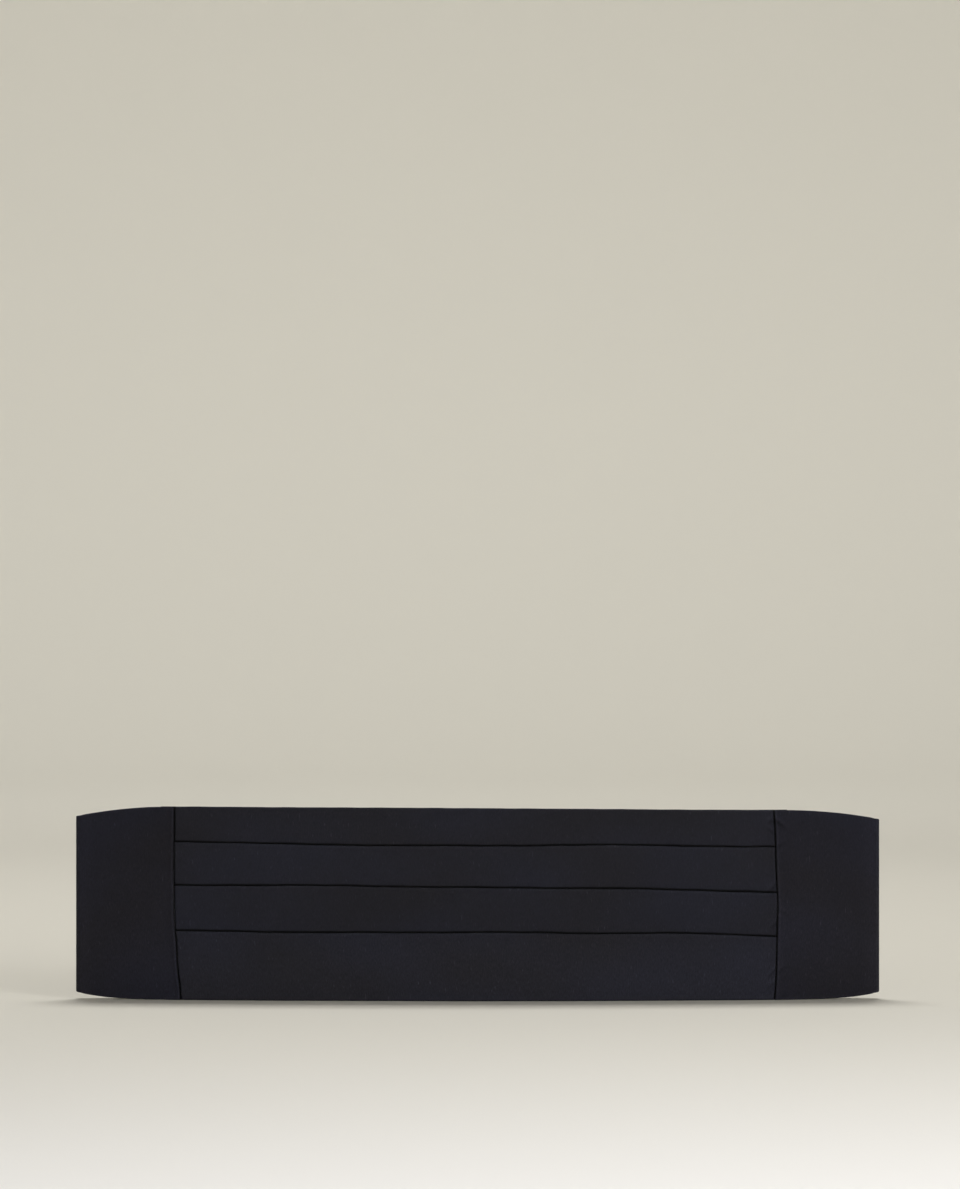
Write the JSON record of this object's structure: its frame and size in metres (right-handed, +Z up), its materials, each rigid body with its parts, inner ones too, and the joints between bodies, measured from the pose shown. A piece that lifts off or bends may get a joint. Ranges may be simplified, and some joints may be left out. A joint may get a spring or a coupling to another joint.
{
  "type": "cummerbund",
  "caption": "Near-black pleated cummerbund, fastened into a slim loop and standing on its lower edge, with plain side panels, narrow back straps and a flat clasp.",
  "frame": {"origin": "middle of the bounding box, on the surface that the lower edge rests on", "axes": "+X across the front towards the right of the picture, +Y from the pleated front to the back straps, +Z up"},
  "size_m": [0.528, 0.0388, 0.1267],
  "materials": {
    "front_cloth": "matte",
    "side_cloth": "matte",
    "webbing": "matte",
    "clasp": "satin"
  },
  "bodies": {
    "root": {"pleated_front": "front_cloth", "side_panel_left": "side_cloth", "side_panel_right": "side_cloth", "back_strap_left": "webbing", "back_strap_right": "webbing", "clasp": "clasp"}
  },
  "joints": []
}
